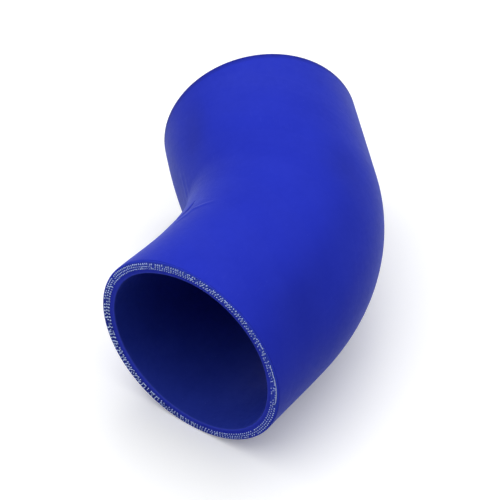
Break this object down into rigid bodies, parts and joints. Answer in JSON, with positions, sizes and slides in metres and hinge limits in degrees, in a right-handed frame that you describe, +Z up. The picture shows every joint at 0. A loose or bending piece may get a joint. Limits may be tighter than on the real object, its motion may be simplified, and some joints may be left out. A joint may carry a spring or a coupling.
{
  "type": "silicone elbow hose",
  "caption": "Blue silicone elbow hose: a plain 45 degree coupler of even bore, with a fabric-reinforced wall and square-cut ends, lying on its side.",
  "frame": {"origin": "on the ground, under the middle of the hose's box, with the hose lying on its side", "axes": "+Z up; +Y along the far leg, out of its cut end; the near leg runs off towards -X and -Y, at 45 degrees to the far leg's line; the bend lies flat, level with the ground"},
  "size_m": [0.1226, 0.1606, 0.0859],
  "materials": {
    "silicone": "satin royal blue silicone, smooth, with a faint cloth imprint; pale thread ends show on the cut ends"
  },
  "bodies": {
    "root": {"elbow_hose": "silicone"}
  },
  "joints": []
}
